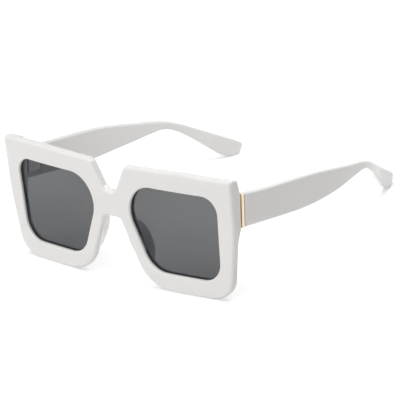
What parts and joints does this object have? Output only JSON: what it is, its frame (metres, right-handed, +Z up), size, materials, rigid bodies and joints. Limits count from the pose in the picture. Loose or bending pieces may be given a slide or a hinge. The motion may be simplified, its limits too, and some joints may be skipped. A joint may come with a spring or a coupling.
{
  "type": "square sunglasses",
  "caption": "Oversized square sunglasses with a thick glossy front, a flat top edge with a notch over the bridge, grey see-through lenses and folding temples with slim metal end trims.",
  "frame": {"origin": "middle of the footprint of the open glasses, on the surface they stand on: under the midpoint between the outer faces of the front and the back of the temple tips", "axes": "+Z up, square to the surface under the rims and temple tips; -Y the way the wearer looks; +X towards the wearer's left"},
  "size_m": [0.147, 0.1456, 0.0599],
  "materials": {
    "white_plastic": "glossy",
    "grey_lens": "polished, tinted",
    "gold_trim": "polished",
    "hinge_metal": "satin"
  },
  "bodies": {
    "front": {"front_frame": "white_plastic", "lens_left": "grey_lens", "nose_pad_left": "white_plastic", "hinge_front_leaf_left": "hinge_metal", "front_leaf_screw_upper_left": "hinge_metal", "front_leaf_screw_lower_left": "hinge_metal", "hinge_screw_left": "hinge_metal", "lens_right": "grey_lens", "nose_pad_right": "white_plastic", "hinge_front_leaf_right": "hinge_metal", "front_leaf_screw_upper_right": "hinge_metal", "front_leaf_screw_lower_right": "hinge_metal", "hinge_screw_right": "hinge_metal"},
    "left_temple": {"temple_left": "white_plastic", "temple_trim_left": "gold_trim", "temple_core_left": "hinge_metal", "hinge_temple_leaf_left": "hinge_metal", "temple_leaf_screw_upper_left": "hinge_metal", "temple_leaf_screw_lower_left": "hinge_metal"},
    "right_temple": {"temple_right": "white_plastic", "temple_trim_right": "gold_trim", "temple_core_right": "hinge_metal", "hinge_temple_leaf_right": "hinge_metal", "temple_leaf_screw_upper_right": "hinge_metal", "temple_leaf_screw_lower_right": "hinge_metal"}
  },
  "joints": [
    {"name": "fold_left", "type": "hinge", "parent": "front", "child": "left_temple", "pos_m": [0.0672, -0.05805, 0.04272], "axis": [0, 0.1564, 0.9877], "range_deg": [0, 82]},
    {"name": "fold_right", "type": "hinge", "parent": "front", "child": "right_temple", "pos_m": [-0.0672, -0.05805, 0.04272], "axis": [0, -0.1564, -0.9877], "range_deg": [0, 68]}
  ]
}
